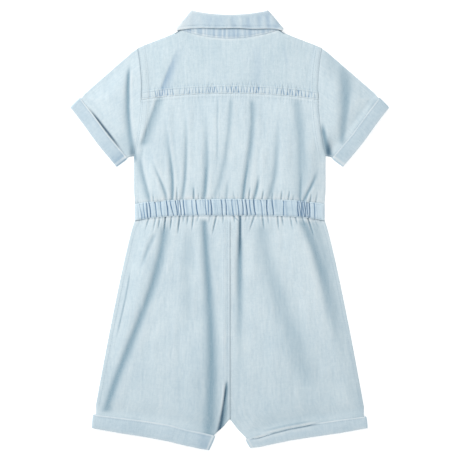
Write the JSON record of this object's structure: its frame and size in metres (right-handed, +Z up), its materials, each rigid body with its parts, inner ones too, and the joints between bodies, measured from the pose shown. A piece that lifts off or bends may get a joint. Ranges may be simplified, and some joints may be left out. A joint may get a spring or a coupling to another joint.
{
  "type": "baby romper",
  "caption": "Small child's short-sleeved romper with a shirt collar, gathered yoke, elastic waist and loose shorts, laid flat with its back up.",
  "frame": {"origin": "middle of the laid garment in plan, on the surface that it lies on", "axes": "+Y from the hems to the collar, +X to the wearer's right, +Z up out of the garment's back"},
  "size_m": [0.4508, 0.6242, 0.0077],
  "materials": {
    "body_cloth": "washed light chambray, matt",
    "front_cloth": "washed light chambray, matt",
    "waist_cloth": "washed light chambray drawn in by elastic, matt",
    "button": "off-white, satin"
  },
  "bodies": {
    "root": {"back_yoke": "body_cloth", "back_bodice": "body_cloth", "leg_back_left": "body_cloth", "leg_back_right": "body_cloth", "sleeve_left": "body_cloth", "sleeve_right": "body_cloth", "cuff_left": "body_cloth", "cuff_right": "body_cloth", "hem_left": "body_cloth", "hem_right": "body_cloth", "collar_fall": "body_cloth", "front_left": "front_cloth", "front_right": "front_cloth", "leg_front_left": "front_cloth", "leg_front_right": "front_cloth", "collar_stand": "front_cloth", "placket": "front_cloth", "waistband_back": "waist_cloth", "waistband_front": "waist_cloth", "button_1": "button", "button_2": "button", "button_3": "button", "button_4": "button", "button_5": "button"}
  },
  "joints": []
}
